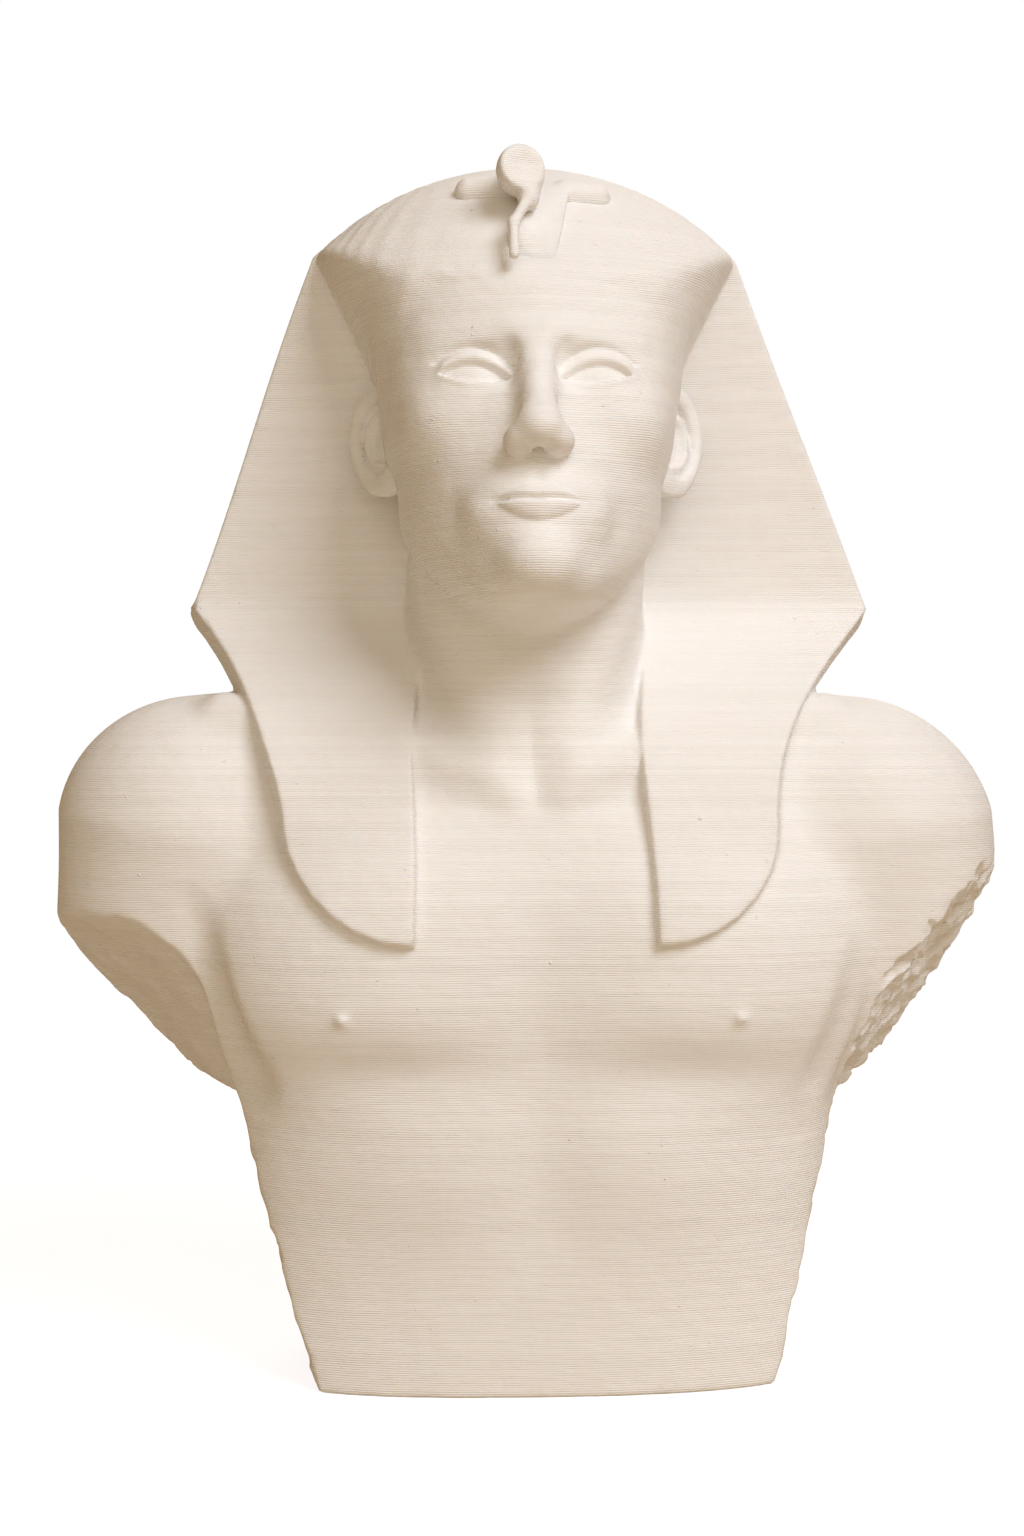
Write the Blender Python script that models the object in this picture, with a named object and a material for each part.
"""A pharaoh's bust: a desk-size plastic copy of a broken stone figure, made in one solid piece.

The figure wears the plain striped headcloth with its two lappets and a cobra on the brow.
Both upper arms and the flanks are broken away, and the bust stands on its flat underside.

The form is free, so it is written as masses of a figure one unit high: +Z up, the face
towards -Y. Eggs, limbs and blocks are joined, cut and pressed together into one field that
is negative inside. A blank of strands is laid up inside that field, remeshed into one skin,
and its points are then moved onto the field's surface. Run with
blender --background --python part.py, or from the Text Editor.
"""

from math import cos, pi, radians, sin, sqrt

import bmesh
import bpy
import numpy as np
from mathutils import Matrix

# The one real size, in metres: underside to crown.
HEIGHT = 0.168

# How finely the solid is made, in shares of the height, and its number of triangles.
STRAND = 0.011
SKIN_CELL = 0.0078
TRIANGLES = 9600

# From here on every length is a share of the height, and every place is (x, y, z).
# Trunk
WAIST_HALF_WIDTH, CHEST_HALF_WIDTH = 0.248, 0.262
BELLY_DEPTH, BREAST_DEPTH, RUMP_DEPTH, BACK_DEPTH = 0.129, 0.149, 0.100, 0.130
TRUNK_AXIS_Y = 0.020
TRUNK_SQUARENESS = 2.6
RIB_CAGE = ((0, 0.020, 0.120), (0.360, 0.340, 0.405))
PECTORAL = ((0.130, -0.045, 0.345), (0.140, 0.090, 0.110))
SHOULDER_BLADE = ((0.150, 0.105, 0.400), (0.110, 0.055, 0.120))
YOKE = ((0.268, 0.035, 0.453), (0.030, 0.055, 0.492), 0.106, 0.120)
UPPER_ARM = ((0.286, 0.032, 0.443), (0.334, 0.035, 0.220), 0.114, 0.075)
ARMPIT = ((0.282, -0.088, 0.392), (0.250, -0.088, 0.245), 0.006, 0.030)
RIGHT_ARMPIT_SHALLOWER = 0.014
NIPPLE_AT, NIPPLE_WIDTH, NIPPLE_RISE = (0.158, 0.305), 0.0055, 0.0045
# Neck
NECK = ((0, 0.040, 0.450), (0, -0.014, 0.740), 0.098, 0.093)
NAPE = ((0, 0.080, 0.470), (0, 0.050, 0.680), 0.110, 0.090)
NECK_CORD = ((0.072, -0.038, 0.660), (0.024, -0.076, 0.500), 0.010, 0.006)
COLLAR_BONE = ((0.020, -0.090, 0.488), (0.105, -0.072, 0.518), 0.009, 0.010)
COLLAR_BONE_END = ((0.105, -0.072, 0.518), (0.250, -0.020, 0.548), 0.010, 0.013)
THROAT_PIT = ((0, -0.114, 0.503), (0.013, 0.013, 0.013))
NECK_SHIFT = 0.006
# Head: its middle, its height from chin to crown, and how far it is thrown back
HEAD_AT = (0.0, -0.035, 0.765)
HEAD_HEIGHT = 0.360
HEAD_TILT = radians(19)
EAR_ROOT, EAR_FLARE, EAR_LEAN = (0.304, 0.020, 0.040), radians(43), radians(12)
# Headcloth
CROWN_AT_Z, CROWN_AXIS_Y = 0.745, 0.020
CROWN_HALF_WIDTH, CROWN_RISE, BROW_DEPTH, NAPE_DEPTH = 0.252, 0.2625, 0.190, 0.152
CORNER = (0.179, 0.010, 0.932)
WING_TIP = (0.289, 0.638)
LAPPET_WAIST = (0.197, 0.450)
LAPPET_CURVE = 1.9
LAPPET_HEM = (0.097, 0.364)
LAPPET_INNER_X = 0.092
CLOTH_THICKNESS = 0.042
LAPPET_THICKNESS = 0.010
WING_FRONT_Y, WING_FOOT_Y = 0.010, 0.034
RAMP_FOOT = (-0.100, 0.498)
FLARE = ((0.179, 0.932), (0.124, 0.824))
FLARE_DEPTH, FLARE_SQUARENESS = 0.174, 2.1
BROW_HEM = 0.232
EDGE_SLANT = 0.10
LAPPET_BEVEL = 0.28
CLOTH_LEAN = (-0.005, 0.012, -0.007)
SHEET_FOOT_Z = 0.575
QUEUE = ((0, 0.125, 0.600), (0, 0.150, 0.385), 0.050, 0.027)
# Cobra on the brow
COBRA_HEAD = ((-0.010, -0.116, 0.9765), (0.0195, 0.026, 0.0205))
COBRA_HEAD_BREAK = ((-0.010, -0.127, 0.9765), 0.32, 0.25)
COBRA_NECK = ((-0.004, -0.122, 0.952), (-0.004, -0.112, 0.968), 0.0085, 0.0120)
HOOD_TOP_Z, HOOD_FOOT_Z, HOOD_RISE = 0.960, 0.901, 0.0095
HOOD_RIM = ((-0.003, -0.126, 0.955), (-0.0165, -0.138, 0.930), (-0.0165, -0.150, 0.903))
BACKING_RISE = 0.0065
LEFT_COIL = ((-0.014, -0.077, 0.9695), (-0.049, -0.072, 0.9685), 0.0130, 0.0125)
RIGHT_COIL = ((0.028, -0.076, 0.9655), (0.0515, -0.073, 0.9645), 0.0140, 0.0135)
# Breaks
# Each broken arm end: a place on it, how steeply it climbs outwards and falls backwards, its twist
LEFT_ARM_BREAK = ((0.320, 0.020, 0.311), 0.81, -0.61, 3.0)
RIGHT_ARM_BREAK = ((0.335, 0.020, 0.338), 1.30, -0.60, 0.0)
# Each broken flank: its distance from the middle at the underside, and how it leans outwards
LEFT_FLANK_BREAK = (0.178, 0.290)
RIGHT_FLANK_BREAK = (0.193, 0.256)
# The broken surfaces: sizes and rises of their lumps and scales, and one wide hollow on the left
SMOOTH_BREAK = ((0.045, 0.0035), (0.014, 0.0012))
SCALY_BREAK, SCALE_MEAN = ((0.024, 0.010), (0.011, 0.005)), 0.006
LEFT_HOLLOW = (-0.325, 0.045, 0.009)
BASE_ROUNDING = 0.004


# Ways to measure and combine masses

def length(*parts):
    return np.sqrt(sum(part * part for part in parts))


def join(a, b, soft):
    """Both masses, with a fillet."""
    share = np.clip(0.5 + 0.5 * (b - a) / soft, 0, 1)
    return b + (a - b) * share - soft * share * (1 - share)


def common(a, b, soft):
    """What two masses share, with a rounded edge."""
    return -join(-a, -b, soft)


def cut(a, b, soft):
    """The first mass with the second taken out."""
    return common(a, -b, soft)


def ease(value, low, high):
    """0 below low, 1 above high, and smooth between."""
    share = np.clip((value - low) / (high - low), 0, 1)
    return share * share * (3 - 2 * share)


def swell(value, middle, width):
    return np.exp(-((value - middle) / width) ** 2)


def egg(p, middle, half):
    d = [p[i] - middle[i] for i in range(3)]
    far = length(*(d[i] / half[i] for i in range(3)))
    slope = length(*(d[i] / half[i] ** 2 for i in range(3)))
    return far * (far - 1) / np.maximum(slope, 1e-9)


def block(p, middle, half, squareness):
    """An egg with squarer sides."""
    far = sum(np.abs((p[i] - middle[i]) / half[i]) ** squareness for i in range(3))
    return (far ** (1 / squareness) - 1) * min(half)


def limb(p, start, end, start_radius, end_radius):
    """A tapered round bar between two points."""
    a, b = np.array(start, float), np.array(end, float)
    run = b - a
    share = sum((p[i] - a[i]) * run[i] for i in range(3)) / (run @ run)
    share = np.clip(share, 0, 1)
    gap = length(*(p[i] - a[i] - share * run[i] for i in range(3)))
    return gap - start_radius - (end_radius - start_radius) * share


def beyond(p, a, b, c, kept):
    """How far p lies past the plane through a, b and c, seen from the point that is kept."""
    a, b, c, kept = (np.array(point, float) for point in (a, b, c, kept))
    normal = np.cross(b - a, c - a)
    normal /= np.linalg.norm(normal)
    if (kept - a) @ normal > 0:
        normal = -normal
    return sum((p[i] - a[i]) * normal[i] for i in range(3))


def beyond_outline(x, z, corners):
    """Distance outside a closed outline in the front view, negative inside it."""
    gap = np.full(x.shape, 1e9)
    inside = np.zeros(x.shape, bool)
    for (ax, az), (bx, bz) in zip(corners, corners[1:] + corners[:1]):
        ex, ez = bx - ax, bz - az
        share = np.clip(((x - ax) * ex + (z - az) * ez) / (ex * ex + ez * ez), 0, 1)
        gap = np.minimum(gap, length(x - ax - ex * share, z - az - ez * share))
        if az != bz:
            inside ^= ((az > z) != (bz > z)) & (x < ax + (z - az) * ex / ez)
    return np.where(inside, -gap, gap)


def lattice_value(i, j, k):
    """A fixed number from -1 to 1 for each point of a lattice."""
    mixed = (i * 374761393 + j * 668265263 + k * 1274126177) & 0xFFFFFFFF
    mixed = ((mixed ^ (mixed >> 13)) * 1274126177) & 0xFFFFFFFF
    return ((mixed ^ (mixed >> 16)) & 0xFFFF) / 32767.5 - 1


def lumps(p, size):
    """Smooth lumps of the given size, from -1 to 1."""
    scaled = [axis / size + 100 for axis in p]
    cell = [np.floor(axis).astype(np.int64) for axis in scaled]
    share = [axis - whole for axis, whole in zip(scaled, cell)]
    share = [part * part * (3 - 2 * part) for part in share]
    total = 0
    for i in (0, 1):
        for j in (0, 1):
            for k in (0, 1):
                weight = share[0] if i else 1 - share[0]
                weight = weight * (share[1] if j else 1 - share[1])
                weight = weight * (share[2] if k else 1 - share[2])
                total = total + weight * lattice_value(cell[0] + i, cell[1] + j, cell[2] + k)
    return total


# The masses of the figure

def torso(p):
    """Ribs, chest, shoulders and what is left of the upper arms."""
    x, y, z = p
    mirrored = (length(x, 0.010), y, z)
    half_width = WAIST_HALF_WIDTH + (CHEST_HALF_WIDTH - WAIST_HALF_WIDTH) * ease(z, 0.10, 0.40)
    front = BELLY_DEPTH + (BREAST_DEPTH - BELLY_DEPTH) * ease(z, 0.05, 0.30)
    front = front - 0.020 * ease(z, 0.36, 0.50)
    back = RUMP_DEPTH + (BACK_DEPTH - RUMP_DEPTH) * ease(z, 0.0, 0.36)
    from_axis = y - TRUNK_AXIS_Y
    depth = np.where(from_axis < 0, front, back)
    far = np.abs(x / half_width) ** TRUNK_SQUARENESS + np.abs(from_axis / depth) ** TRUNK_SQUARENESS
    body = (far ** (1 / TRUNK_SQUARENESS) - 1) * np.minimum(half_width, depth)
    body = common(body, egg(p, *RIB_CAGE), 0.08)
    body = join(body, limb(mirrored, *YOKE), 0.06)
    body = join(body, egg(mirrored, *PECTORAL), 0.05)
    body = join(body, limb(mirrored, *UPPER_ARM), 0.022)
    pit_y = y + RIGHT_ARMPIT_SHALLOWER * ease(x, -0.1, 0.1)
    body = cut(body, limb((mirrored[0], pit_y, z), *ARMPIT), 0.018)
    return join(body, egg(mirrored, *SHOULDER_BLADE), 0.05)


def chest_modelling(p):
    """Shallow hollows (positive) and swellings (negative) of the chest and back."""
    x, y, z = p
    aside = length(x, 0.008)
    front = 1 - ease(y, -0.06, 0.0)
    middle = 0.0045 * swell(x, 0.004, 0.034) * ease(z, 0.08, 0.17) * (1 - ease(z, 0.24, 0.34))
    under_chest = 0.0055 * swell(aside, 0.115, 0.085) * swell(z, 0.258, 0.024)
    chest = -0.003 * swell(aside, 0.12, 0.07) * swell(z, 0.305, 0.030)
    belly = -0.005 * swell(aside, 0.085, 0.07) * swell(z, 0.175, 0.055)
    nipple = -NIPPLE_RISE * swell(aside, NIPPLE_AT[0], NIPPLE_WIDTH)
    nipple = nipple * swell(z, NIPPLE_AT[1], NIPPLE_WIDTH)
    spine = 0.006 * swell(x, 0, 0.02) * ease(z, 0.0, 0.10) * (1 - ease(z, 0.40, 0.52))
    return (middle + under_chest + chest + belly + nipple) * front + spine * (1 - front)


def neck(p):
    mirrored = (np.abs(p[0]), p[1], p[2])
    column = join(limb(p, *NECK), limb(p, *NAPE), 0.04)
    return join(column, limb(mirrored, *NECK_CORD), 0.045)


def collar_bones(p):
    mirrored = (np.abs(p[0]), p[1], p[2])
    return join(limb(mirrored, *COLLAR_BONE), limb(mirrored, *COLLAR_BONE_END), 0.010)


def in_head(p):
    """Places in the head's own frame: right, forwards and up, in head heights."""
    forwards, up = HEAD_AT[1] - p[1], p[2] - HEAD_AT[2]
    return (p[0] / HEAD_HEIGHT,
            (forwards * cos(HEAD_TILT) + up * sin(HEAD_TILT)) / HEAD_HEIGHT,
            (up * cos(HEAD_TILT) - forwards * sin(HEAD_TILT)) / HEAD_HEIGHT)


def skull(q, m):
    """Brain case, jaw and cheeks of a face on the usual proportions: chin at -1/2, crown at 1/2."""
    form = egg(q, (0, -0.03, 0.13), (0.325, 0.43, 0.39))
    form = join(form, egg(q, (0, 0.10, -0.12), (0.285, 0.295, 0.345)), 0.10)
    form = join(form, block(q, (0, 0.06, 0.12), (0.330, 0.322, 0.30), 3.0), 0.05)
    form = join(form, limb(m, (0.06, 0.25, -0.400), (0.205, 0.02, -0.20), 0.080, 0.070), 0.08)
    form = join(form, egg(q, (0, 0.335, -0.425), (0.085, 0.075, 0.068)), 0.05)
    form = join(form, egg(m, (0.180, 0.245, -0.075), (0.095, 0.105, 0.085)), 0.06)
    form = join(form, egg(q, (0, 0.310, -0.300), (0.150, 0.092, 0.105)), 0.05)
    return join(form, limb(m, (0.262, 0.180, 0.270), (0.258, 0.115, 0.120), 0.074, 0.074), 0.05)


def brow_and_sockets(form, m):
    form = join(form, limb(m, (0.045, 0.376, 0.078), (0.200, 0.305, 0.090), 0.028, 0.022), 0.05)
    form = cut(form, egg(m, (0.130, 0.425, 0.004), (0.092, 0.070, 0.052)), 0.035)
    return cut(form, egg(m, (0.060, 0.425, 0.012), (0.034, 0.052, 0.048)), 0.03)


def nose(form, q, m):
    form = join(form, limb(q, (0, 0.380, 0.075), (0, 0.452, -0.150), 0.030, 0.040), 0.045)
    form = join(form, egg(q, (0, 0.466, -0.174), (0.044, 0.040, 0.036)), 0.035)
    form = join(form, egg(m, (0.046, 0.424, -0.188), (0.030, 0.044, 0.029)), 0.026)
    return cut(form, egg(m, (0.024, 0.452, -0.222), (0.013, 0.022, 0.015)), 0.008)


def eyes(form, m):
    """A ball under two lids that leave an almond open, with a crease over the upper lid."""
    across, ahead, up = m
    middle, half_width = 0.132, 0.080
    form = join(form, length(across - middle, ahead - 0.290, up + 0.004) - 0.090, 0.025)
    share = (across - middle) / half_width
    bow = np.clip(1 - share ** 2, 0, 1)
    level = up + 0.006 - 0.010 * share
    upper, lower = level - 0.033 * bow ** 0.8, -level - 0.021 * bow
    inside = np.minimum(-upper, -lower)
    near = (1 - ease(np.abs(share), 0.95, 1.25)) * ease(ahead, 0.20, 0.30)
    opened = 0.011 * ease(inside, 0.0, 0.007)
    lid = 0.006 * swell(upper, 0.007, 0.009) + 0.003 * swell(lower, 0.006, 0.007)
    lid = lid * (1 - ease(np.abs(share), 0.82, 1.08))
    crease = 0.006 * swell(upper, 0.032, 0.007)
    return form + (opened - lid + crease) * near


def mouth(form, q, m):
    """Closed lips raised on the mound of the jaw, with the groove above them."""
    across, ahead, up = q
    half_width = 0.098
    share = np.clip(m[0] / half_width, 0, 1)
    seam_at = -0.312 + 0.007 * share ** 2 - 0.003 * swell(across, 0, 0.02)
    upper = 0.036 * (1 - share ** 1.7) - 0.005 * swell(across, 0, 0.016)
    lower = 0.042 * (1 - share ** 2.2)
    height = np.where(up > seam_at, upper, lower)
    rise = np.clip(1 - ((up - seam_at) / np.maximum(height, 0.008)) ** 2, 0, 1)
    lips = 0.019 * np.sqrt(rise) * (1 - share ** 3)
    seam = 0.015 * swell(up, seam_at, 0.0065) * (1 - ease(m[0], 0.75 * half_width, 1.10 * half_width))
    corner = 0.004 * swell(m[0], half_width * 1.04, 0.022) * swell(up, -0.306, 0.020)
    groove = 0.006 * swell(across, 0, 0.016) * ease(up, -0.275, -0.262) * (1 - ease(up, -0.245, -0.225))
    return form - (lips - seam - groove - corner) * ease(ahead, 0.20, 0.30)


def ears(p):
    """Free-standing ears, set high, with rim, inner ridge, bowl and lobe."""
    q = in_head(p)
    m = (np.abs(q[0]), q[1], q[2])
    root_at, flare, lean = EAR_ROOT, EAR_FLARE, EAR_LEAN
    out, ahead, up = (m[i] - root_at[i] for i in range(3))
    span = out * sin(flare) - ahead * cos(flare)
    off = out * cos(flare) + ahead * sin(flare)
    span, rise = span * cos(lean) - up * sin(lean) - 0.055, span * sin(lean) + up * cos(lean)
    half = 0.078 + 0.012 * ease(rise, -0.12, 0.08)
    rim_gap = (length(span / half, rise / 0.142) - 1) * half
    place = (span, rise, off)
    form = common(rim_gap, np.abs(off + 0.018) - 0.010, 0.010)
    form = join(form, length(rim_gap + 0.012, off - 0.004) - 0.0150, 0.008)
    ridge = length(length((span + 0.012) / 0.72, rise + 0.005) - 0.070, off) - 0.011
    form = join(form, np.maximum(ridge, -(span + 0.010)), 0.008)
    form = join(form, egg(place, (-0.022, -0.120, -0.002), (0.038, 0.036, 0.018)), 0.012)
    form = join(form, egg(place, (-0.062, -0.030, 0.004), (0.020, 0.030, 0.018)), 0.012)
    form = join(form, egg(place, (-0.050, -0.010, -0.040), (0.050, 0.110, 0.045)), 0.012)
    return cut(form, egg(place, (-0.028, -0.025, 0.012), (0.034, 0.052, 0.038)), 0.008) * HEAD_HEIGHT


def head(p):
    q = in_head(p)
    m = (length(q[0], 0.006), q[1], q[2])
    form = brow_and_sockets(skull(q, m), m)
    form = nose(form, q, m)
    form = eyes(form, m)
    form = mouth(form, q, m)
    return form * HEAD_HEIGHT


def cloth_outline():
    """Right half of the headcloth's outline from the front: crown, wing, lappet, inner edge."""
    crown_turn = np.linspace(0, 0.74, 7)
    outline = [(CROWN_HALF_WIDTH * sin(t), CROWN_AT_Z + CROWN_RISE * cos(t)) for t in crown_turn]
    outline += [(CORNER[0], CORNER[2]), WING_TIP]
    for t in np.linspace(1, 0, 10)[1:]:
        outline.append((LAPPET_WAIST[0] + (WING_TIP[0] - LAPPET_WAIST[0]) * t ** LAPPET_CURVE,
                        LAPPET_WAIST[1] + (WING_TIP[1] - LAPPET_WAIST[1]) * t))
    for t in np.linspace(0, pi / 2, 8)[1:-1]:
        outline.append((LAPPET_HEM[0] + (LAPPET_WAIST[0] - LAPPET_HEM[0]) * cos(t),
                        LAPPET_WAIST[1] - (LAPPET_WAIST[1] - LAPPET_HEM[1]) * sin(t) ** 1.2))
    outline += [LAPPET_HEM, (LAPPET_INNER_X, 0.520), (LAPPET_INNER_X, WING_TIP[1]), (0, 0.66)]
    return outline


OUTLINE = cloth_outline()


def crown(p):
    """The headcloth over the skull, narrower towards the back and the nape."""
    from_axis, up = p[1] - CROWN_AXIS_Y, p[2] - CROWN_AT_Z
    rearness = ease(from_axis, 0.0, 0.13)
    half_width = CROWN_HALF_WIDTH - 0.055 * rearness
    half_width = half_width - 0.075 * rearness * ease(0.90 - p[2], 0, 0.28)
    half = (half_width, np.where(from_axis < 0, BROW_DEPTH, NAPE_DEPTH), CROWN_RISE)
    up = np.where(up < 0, up * 0.8, up)
    far = length(p[0] / half[0], from_axis / half[1], up / half[2])
    slope = length(p[0] / half[0] ** 2, from_axis / half[1] ** 2, up / half[2] ** 2)
    return far * (far - 1) / np.maximum(slope, 1e-9)


def pleats(p):
    """Faint folds that fan out from the crown over the sides of the brow."""
    x, y, z = p
    turn = np.arctan2(x, 0.13 - y)
    folds = np.abs(np.sin(turn * 34 + 1.2 * np.sin(turn * 9))) - 0.6
    sides = ease(np.abs(x), 0.060, 0.095) * (1 - ease(np.abs(x), 0.16, 0.19))
    return 0.0007 * folds * sides * ease(z, 0.84, 0.89)


def flare(p):
    """The cloth's front half widens upwards, from the ears to the two corners."""
    (top_x, top_z), (ear_x, ear_z) = FLARE
    half_width = np.maximum(ear_x + (p[2] - ear_z) * (top_x - ear_x) / (top_z - ear_z), 0.05)
    across, ahead = np.abs(p[0]) / half_width, np.maximum(CROWN_AXIS_Y - p[1], 0) / FLARE_DEPTH
    far = (across ** FLARE_SQUARENESS + ahead ** FLARE_SQUARENESS) ** (1 / FLARE_SQUARENESS)
    return (far - 1) * half_width * 0.85


def temples(p):
    """1 at the temples, where the cloth melts into the head, and 0 over the brow."""
    across, _, up = in_head(p)
    return ease(np.abs(across), 0.17, 0.27) * (1 - ease(up, 0.26, 0.36))


def brow_cloth(p):
    """The front of the headcloth, down to the hem and back to the sheet behind the ears."""
    across, _, up = in_head(p)
    hem = BROW_HEM - 10 * np.maximum(np.abs(across) - 0.20, 0) ** 2 - up
    cloth = common(crown(p) + pleats(p), flare(p), 0.007)
    cloth = common(cloth, hem * HEAD_HEIGHT, 0.004 + 0.034 * temples(p))
    return np.maximum(cloth, p[1] - 0.03)


def wings_and_lappets(p, skin):
    """The sheet that stands behind the ears, its back, and the lappets down to the chest."""
    x, y, z = p
    low, tip, top = CLOTH_LEAN
    aside = np.abs(x - low - tip * ease(z, 0.50, 0.64) - top * ease(z, 0.66, 0.90))
    wing_y = WING_FRONT_Y + (WING_FOOT_Y - WING_FRONT_Y) * ease(CORNER[2] - z, 0, 0.29)
    top = 1 - (np.minimum(aside, CORNER[0]) / CROWN_HALF_WIDTH) ** 2
    top = top - (np.maximum(y - CROWN_AXIS_Y, 0) / NAPE_DEPTH) ** 2
    top = CROWN_AT_Z + CROWN_RISE * np.sqrt(np.maximum(top, 0))
    sheet = common(y - wing_y - CLOTH_THICKNESS, (z - top) * 0.75, 0.006)
    sheet = np.maximum(sheet, SHEET_FOOT_Z - z)
    neckline = SHEET_FOOT_Z - 0.10 * swell(x, 0, 0.085)
    rear = common(join(crown(p), sheet, 0.03), (neckline - z) * 0.8, 0.012)
    rear = np.maximum(rear, wing_y - y)

    ramp = beyond((aside, y, z), (0, WING_FOOT_Y, WING_TIP[1]), (1, WING_FOOT_Y, WING_TIP[1]),
                  (0, *RAMP_FOOT), (0, 0, 0))
    ramp = common(ramp, RAMP_FOOT[0] - 0.004 - y, 0.03)
    shell = join(skin - LAPPET_THICKNESS, ramp, 0.025)
    depth = np.where(z > WING_TIP[1], y - wing_y, -shell)
    slant = EDGE_SLANT + (LAPPET_BEVEL - EDGE_SLANT) * (1 - ease(z, 0.62, 0.65))
    outline = beyond_outline(aside, z, OUTLINE) - slant * np.clip(depth, 0, 0.035)
    shell = np.maximum(np.maximum(shell, y - 0.085), z - 0.66)
    shell = common(shell, LAPPET_INNER_X - aside, 0.003)
    return common(join(rear, shell, 0.012), outline, 0.003)


def cobra(p):
    """The cobra on the brow, with its head broken off flat."""
    x, y, z = p
    cloth = np.maximum(crown(p), y - 0.02)
    down = np.clip((HOOD_TOP_Z - z) / (HOOD_TOP_Z - HOOD_FOOT_Z), -0.2, 1.2)
    left_edge = -0.006 - 0.0115 * ease(down, 0.05, 0.50)
    right_edge = 0.006 + 0.009 * down
    lean = HOOD_RISE * (1 - 0.55 * ease(x, -0.012, 0.014)) * (1 - 0.9 * ease(down, 0.55, 1.0))
    hood = common(cloth - lean, np.maximum(left_edge - x, x - right_edge), 0.004)
    hood = common(hood, np.maximum(HOOD_FOOT_Z - z, z - HOOD_TOP_Z), 0.005)

    backing_edge = 0.0295 - 0.0125 * down
    backing = common(cloth - BACKING_RISE * (1 - 0.8 * down), x - backing_edge, 0.003)
    backing = common(backing, np.maximum(-0.004 - x, HOOD_FOOT_Z - z), 0.004)
    backing = common(backing, z - 0.978 + 0.25 * np.abs(x - 0.012), 0.006)

    form = join(hood, backing, 0.004)
    for start, end in zip(HOOD_RIM, HOOD_RIM[1:]):
        form = join(form, limb(p, start, end, 0.0042, 0.0042), 0.004)
    form = join(form, limb(p, *COBRA_NECK), 0.005)
    middle, sideways, upwards = COBRA_HEAD_BREAK
    off = (middle[1] - y) - sideways * (middle[0] - x) + upwards * (z - middle[2])
    dish = 0.0032 * np.exp(-((x - middle[0] - 0.003) ** 2 + (z - middle[2] - 0.004) ** 2) / 0.010 ** 2)
    stump = common(egg(p, *COBRA_HEAD), off + dish, 0.003)
    form = join(form, stump, 0.003)
    form = join(form, limb(p, *LEFT_COIL), 0.003)
    return join(form, limb(p, *RIGHT_COIL), 0.003)


def broken_end(p, aside, middle, outwards, backwards, twist):
    """Below the broken end of an arm."""
    across, deep = aside - middle[0], p[1] - middle[1]
    height = middle[2] + outwards * across + backwards * deep + twist * across * deep
    return (height - p[2]) / sqrt(1 + outwards ** 2 + backwards ** 2)


def breaks(p):
    """Outside the broken faces of the arms and flanks."""
    x, _, z = p
    smooth = sum(rise * lumps(p, size) for size, rise in SMOOTH_BREAK)
    scales = sum(rise * np.abs(lumps(p, size)) for size, rise in SCALY_BREAK) - SCALE_MEAN
    left = join(broken_end(p, -x, *LEFT_ARM_BREAK),
                -x - LEFT_FLANK_BREAK[0] - LEFT_FLANK_BREAK[1] * z, 0.012)
    right = join(broken_end(p, x, *RIGHT_ARM_BREAK),
                 x - RIGHT_FLANK_BREAK[0] - RIGHT_FLANK_BREAK[1] * z, 0.012)
    left = left + LEFT_HOLLOW[2] * swell(x, LEFT_HOLLOW[0], LEFT_HOLLOW[1])
    low = 1 - ease(z, 0.17, 0.23)
    left = left + smooth + 0.4 * low * scales
    right = right + (1 - 0.5 * low) * scales
    return np.maximum(left, right)


def bust(p):
    """The whole figure as one field."""
    shifted = (p[0] + NECK_SHIFT * ease(p[2], 0.40, 0.56), p[1], p[2])
    bare = torso(shifted)
    form = join(bare + chest_modelling(shifted), collar_bones(shifted), 0.028)
    form = join(form, neck(shifted), 0.030)
    form = cut(form, egg(shifted, *THROAT_PIT), 0.030)
    form = join(form, head(shifted), 0.020)
    form = join(form, brow_cloth(shifted), 0.006 + 0.012 * temples(shifted))
    form = join(form, ears(shifted), 0.005)
    form = join(form, wings_and_lappets(shifted, bare), 0.004)
    form = join(form, limb(shifted, *QUEUE), 0.015)
    form = join(form, cobra(shifted), 0.004)
    form = common(form, breaks(p), 0.003)
    return common(form, -p[2], BASE_ROUNDING)


# Making the solid

def field(points):
    return bust((points[:, 0], points[:, 1], points[:, 2]))


def slope_at(points, step=0.0005):
    slope = np.empty_like(points)
    for axis in range(3):
        offset = np.zeros(3)
        offset[axis] = step
        slope[:, axis] = (field(points + offset) - field(points - offset)) / (2 * step)
    return slope


def strand_blank():
    """Straight strands inside the form, laid side by side and layer on layer."""
    bm = bmesh.new()
    fine = STRAND / 2
    along = np.arange(-0.44, 0.44, fine)
    across = np.arange(-0.26, 0.22, STRAND)
    for z in np.arange(0.5 * STRAND, 1.02, STRAND):
        x, y = np.meshgrid(along, across)
        points = np.stack([x.ravel(), y.ravel(), np.full(x.size, z)], 1)
        solid = (field(points) < 0).reshape(x.shape)
        for row, filled in zip(across, solid):
            ends = np.flatnonzero(np.diff(np.concatenate(([0], filled, [0]))))
            for first, after in zip(ends[::2], ends[1::2]):
                low, high = along[first] - fine / 2, along[after - 1] + fine / 2
                size = Matrix.Diagonal((high - low, STRAND * 1.12, STRAND * 1.12, 1))
                place = Matrix.Translation(((low + high) / 2, row, z))
                bmesh.ops.create_cube(bm, size=1, matrix=place @ size)
    mesh = bpy.data.meshes.new("blank")
    bm.to_mesh(mesh)
    bm.free()
    return mesh


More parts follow.
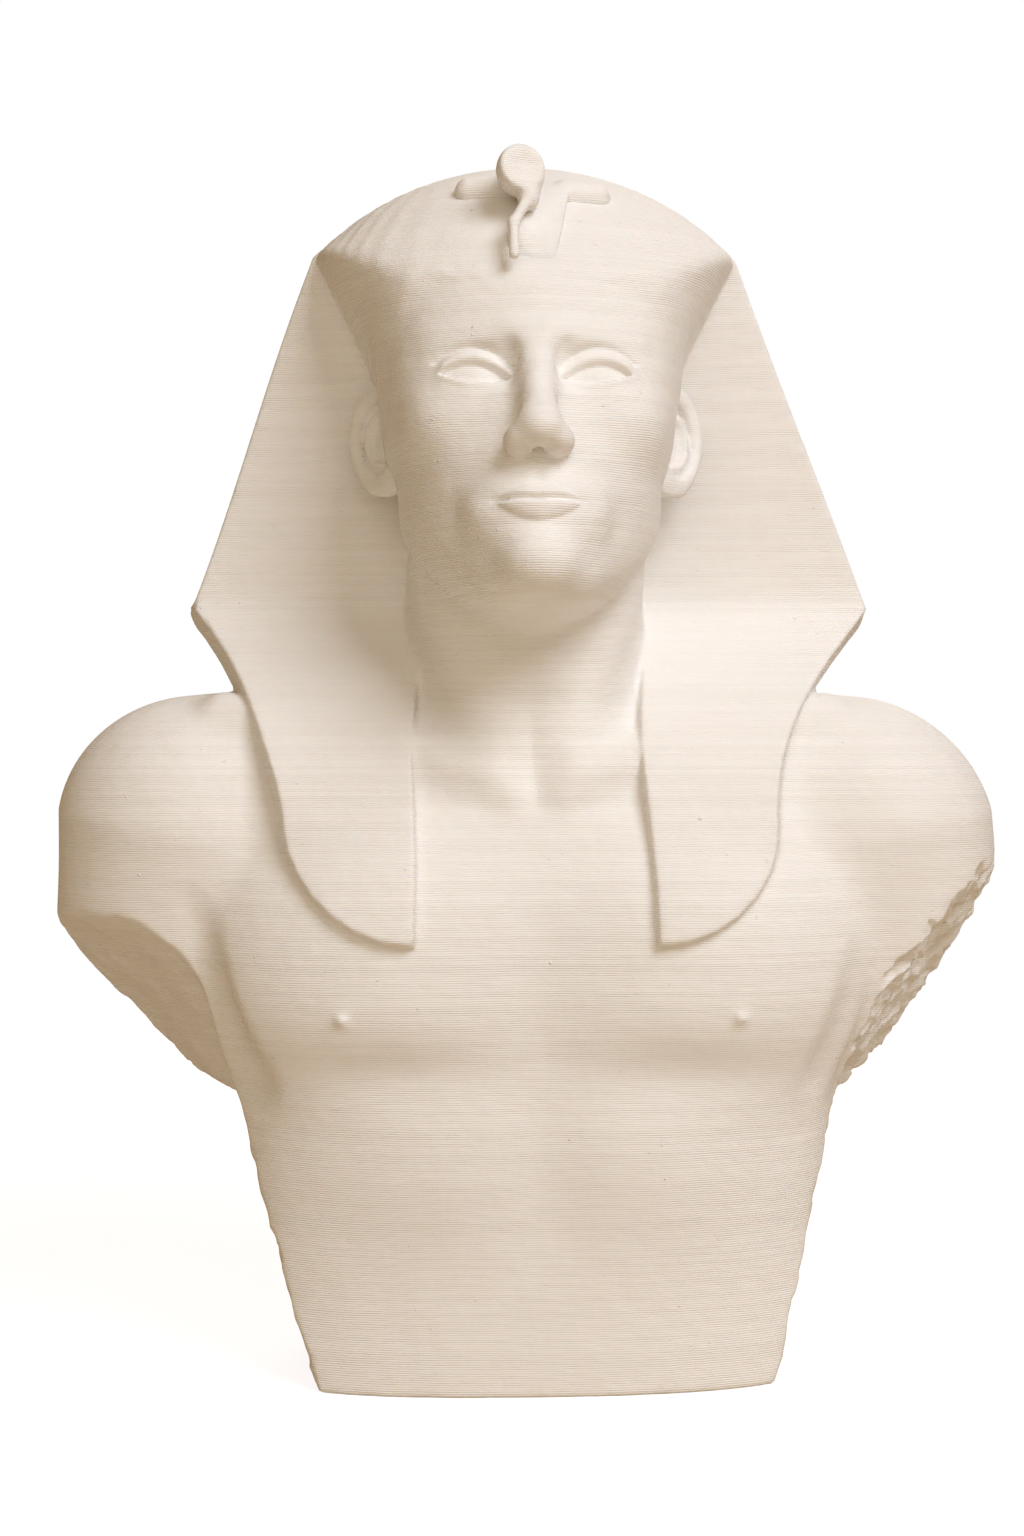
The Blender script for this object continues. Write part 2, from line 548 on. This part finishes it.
def applied(obj, kind, **settings):
    """The object's mesh after one modifier."""
    modifier = obj.modifiers.new(kind, kind)
    for name, value in settings.items():
        setattr(modifier, name, value)
    graph = bpy.context.evaluated_depsgraph_get()
    mesh = bpy.data.meshes.new_from_object(obj.evaluated_get(graph))
    obj.modifiers.remove(modifier)
    return mesh


def positions(mesh):
    flat = np.empty(len(mesh.vertices) * 3)
    mesh.vertices.foreach_get("co", flat)
    return flat.reshape(-1, 3)


def place_points(mesh, points):
    mesh.vertices.foreach_set("co", points.ravel())
    mesh.update()


def settle(mesh, rounds, longest):
    """Move the points straight onto the surface of the form."""
    points = positions(mesh)
    for _ in range(rounds):
        slope = slope_at(points)
        steepness = np.maximum((slope * slope).sum(1), 0.05)
        move = -(field(points) / steepness)[:, None] * slope
        far = np.linalg.norm(move, axis=1)
        points = points + move * np.minimum(1, longest / np.maximum(far, 1e-12))[:, None]
    place_points(mesh, points)


def spread(mesh, amount=0.5):
    """Even out the points along the surface, but not over its edges."""
    pairs = np.empty(len(mesh.edges) * 2, dtype=np.int32)
    mesh.edges.foreach_get("vertices", pairs)
    first, second = pairs[::2], pairs[1::2]
    points = positions(mesh)
    count = np.bincount(pairs, minlength=len(points))[:, None]

    def neighbours_mean(values):
        sums = [np.bincount(first, values[second, axis], len(values))
                + np.bincount(second, values[first, axis], len(values)) for axis in range(3)]
        return np.stack(sums, 1) / count

    normal = slope_at(points)
    normal /= np.maximum(np.linalg.norm(normal, axis=1), 1e-9)[:, None]
    flatness = np.linalg.norm(neighbours_mean(normal), axis=1)
    weight = np.clip((flatness - 0.85) / 0.1, 0, 1)[:, None]
    move = neighbours_mean(points) - points
    move -= (move * normal).sum(1)[:, None] * normal
    place_points(mesh, points + amount * weight * move)


def carved_bust():
    obj = bpy.data.objects.new("pharaoh_bust", strand_blank())
    bpy.context.scene.collection.objects.link(obj)
    obj.data = applied(obj, "REMESH", mode="VOXEL", voxel_size=SKIN_CELL)
    for _ in range(2):
        settle(obj.data, 2, SKIN_CELL)
        spread(obj.data)
    settle(obj.data, 2, SKIN_CELL)
    return obj


def thinned(obj):
    """Fewer triangles, with the underside flat and the box centred over the origin."""
    faces = sum(len(face.vertices) - 2 for face in obj.data.polygons)
    obj.data = applied(obj, "DECIMATE", ratio=TRIANGLES / faces, use_collapse_triangulate=True)
    points = positions(obj.data)
    low, high = points.min(0), points.max(0)
    points -= ((low[0] + high[0]) / 2, (low[1] + high[1]) / 2, low[2])
    place_points(obj.data, points * HEIGHT / (high[2] - low[2]))


def ivory_print():
    material = bpy.data.materials.new("ivory_print")
    material.use_nodes = True
    shader = material.node_tree.nodes["Principled BSDF"]
    shader.inputs["Base Color"].default_value = (0.85, 0.78, 0.68, 1)
    shader.inputs["Roughness"].default_value = 0.62
    shader.inputs["Metallic"].default_value = 0.0
    return material


def main():
    for obj in list(bpy.data.objects):
        bpy.data.objects.remove(obj)
    figure = carved_bust()
    thinned(figure)
    figure.data.name = "pharaoh_bust"
    figure.data.materials.clear()
    figure.data.materials.append(ivory_print())
    figure.data.shade_smooth()


main()
